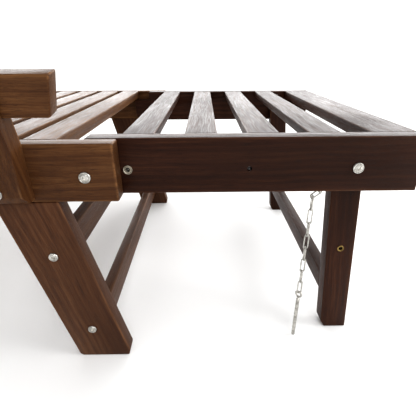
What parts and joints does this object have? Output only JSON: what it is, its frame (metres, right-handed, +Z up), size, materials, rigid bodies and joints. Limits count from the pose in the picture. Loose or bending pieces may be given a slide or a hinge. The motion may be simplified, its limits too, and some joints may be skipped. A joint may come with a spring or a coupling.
{
  "type": "convertible slatted garden daybed",
  "caption": "Slatted wooden garden bench with a leaning back and an arm wing at each end that folds flat onto its own fold-down leg frame, locked by a steel pin on a chain.",
  "frame": {"origin": "on the floor, under the middle of the bounding box", "axes": "+X along the seat, -Y towards the back, +Z up"},
  "size_m": [1.986, 0.7426, 0.687],
  "materials": {
    "seat_wood": "warm brown oil-stained hardwood, satin",
    "wing_wood": "darker red-brown oil-stained hardwood, satin",
    "zinc_steel": "zinc-plated",
    "brass": "dull brass threaded and plain bushes"
  },
  "bodies": {
    "seat_frame": {"back_post_left": "seat_wood", "back_post_right": "seat_wood", "back_rail_lower": "seat_wood", "back_rail_top": "seat_wood", "back_slats": "seat_wood", "leg_back_left": "seat_wood", "leg_back_right": "seat_wood", "leg_front_left": "seat_wood", "leg_front_right": "seat_wood", "main_rail_back": "seat_wood", "main_rail_front": "seat_wood", "pivot_bolt_back_left": "zinc_steel", "pivot_bolt_back_right": "zinc_steel", "pivot_bolt_front_left": "zinc_steel", "pivot_bolt_front_right": "zinc_steel", "seat_slat_01": "seat_wood", "seat_slat_02": "seat_wood", "seat_slat_03": "seat_wood", "seat_slat_04": "seat_wood", "seat_slat_05": "seat_wood", "seat_slat_06": "seat_wood", "seat_slat_07": "seat_wood", "seat_slat_08": "seat_wood", "seat_slat_09": "seat_wood", "seat_slat_10": "seat_wood", "seat_slat_11": "seat_wood", "seat_slat_12": "seat_wood", "seat_slat_13": "seat_wood", "seat_slat_14": "seat_wood", "seat_slat_15": "seat_wood", "seat_slat_16": "seat_wood", "seat_slat_17": "seat_wood", "stretcher_lower_left": "seat_wood", "stretcher_lower_right": "seat_wood", "stretcher_upper_left": "seat_wood", "stretcher_upper_right": "seat_wood"},
    "wing_right": {"wing_right_end_board": "wing_wood", "wing_right_rail_back": "wing_wood", "wing_right_rail_front": "wing_wood", "wing_right_slat_1": "wing_wood", "wing_right_slat_2": "wing_wood", "wing_right_slat_3": "wing_wood", "wing_right_slat_4": "wing_wood"},
    "wing_legs_right": {"wing_right_leg_back": "wing_wood", "wing_right_leg_bar": "wing_wood", "wing_right_leg_front": "wing_wood"},
    "chain_right": {"lock_chain_right": "zinc_steel"},
    "pin_right": {"lock_pin_right": "zinc_steel"},
    "wing_left": {"wing_left_end_board": "wing_wood", "wing_left_rail_back": "wing_wood", "wing_left_rail_front": "wing_wood", "wing_left_slat_1": "wing_wood", "wing_left_slat_2": "wing_wood", "wing_left_slat_3": "wing_wood", "wing_left_slat_4": "wing_wood"},
    "wing_legs_left": {"wing_left_leg_back": "wing_wood", "wing_left_leg_bar": "wing_wood", "wing_left_leg_front": "wing_wood"},
    "chain_left": {"lock_chain_left": "zinc_steel"},
    "pin_left": {"lock_pin_left": "zinc_steel"}
  },
  "joints": [
    {"name": "wing_right_fold", "type": "hinge", "parent": "seat_frame", "child": "wing_right", "pos_m": [0.541, 0.04601, 0.3195], "axis": [0, -1, 0], "range_deg": [0, 73]},
    {"name": "wing_legs_right_fold", "type": "hinge", "parent": "wing_right", "child": "wing_legs_right", "pos_m": [0.905, 0.04601, 0.3195], "axis": [0, 1, 0], "range_deg": [0, 94.6]},
    {"name": "chain_right_swing", "type": "hinge", "parent": "wing_right", "child": "chain_right", "pos_m": [0.851, -0.23899, 0.2745], "axis": [0, 1, 0], "range_deg": [-30, 75]},
    {"name": "pin_right_swing", "type": "hinge", "parent": "chain_right", "child": "pin_right", "pos_m": [0.851, -0.23899, 0.10125], "axis": [0, 1, 0], "range_deg": [-30, 30]},
    {"name": "wing_left_fold", "type": "hinge", "parent": "seat_frame", "child": "wing_left", "pos_m": [-0.541, 0.04601, 0.3195], "axis": [0, 1, 0], "range_deg": [0, 73]},
    {"name": "wing_legs_left_fold", "type": "hinge", "parent": "wing_left", "child": "wing_legs_left", "pos_m": [-0.905, 0.04601, 0.3195], "axis": [0, -1, 0], "range_deg": [0, 94.6]},
    {"name": "chain_left_swing", "type": "hinge", "parent": "wing_left", "child": "chain_left", "pos_m": [-0.851, -0.23899, 0.2745], "axis": [0, -1, 0], "range_deg": [-30, 75]},
    {"name": "pin_left_swing", "type": "hinge", "parent": "chain_left", "child": "pin_left", "pos_m": [-0.851, -0.23899, 0.10125], "axis": [0, -1, 0], "range_deg": [-30, 30]}
  ]
}
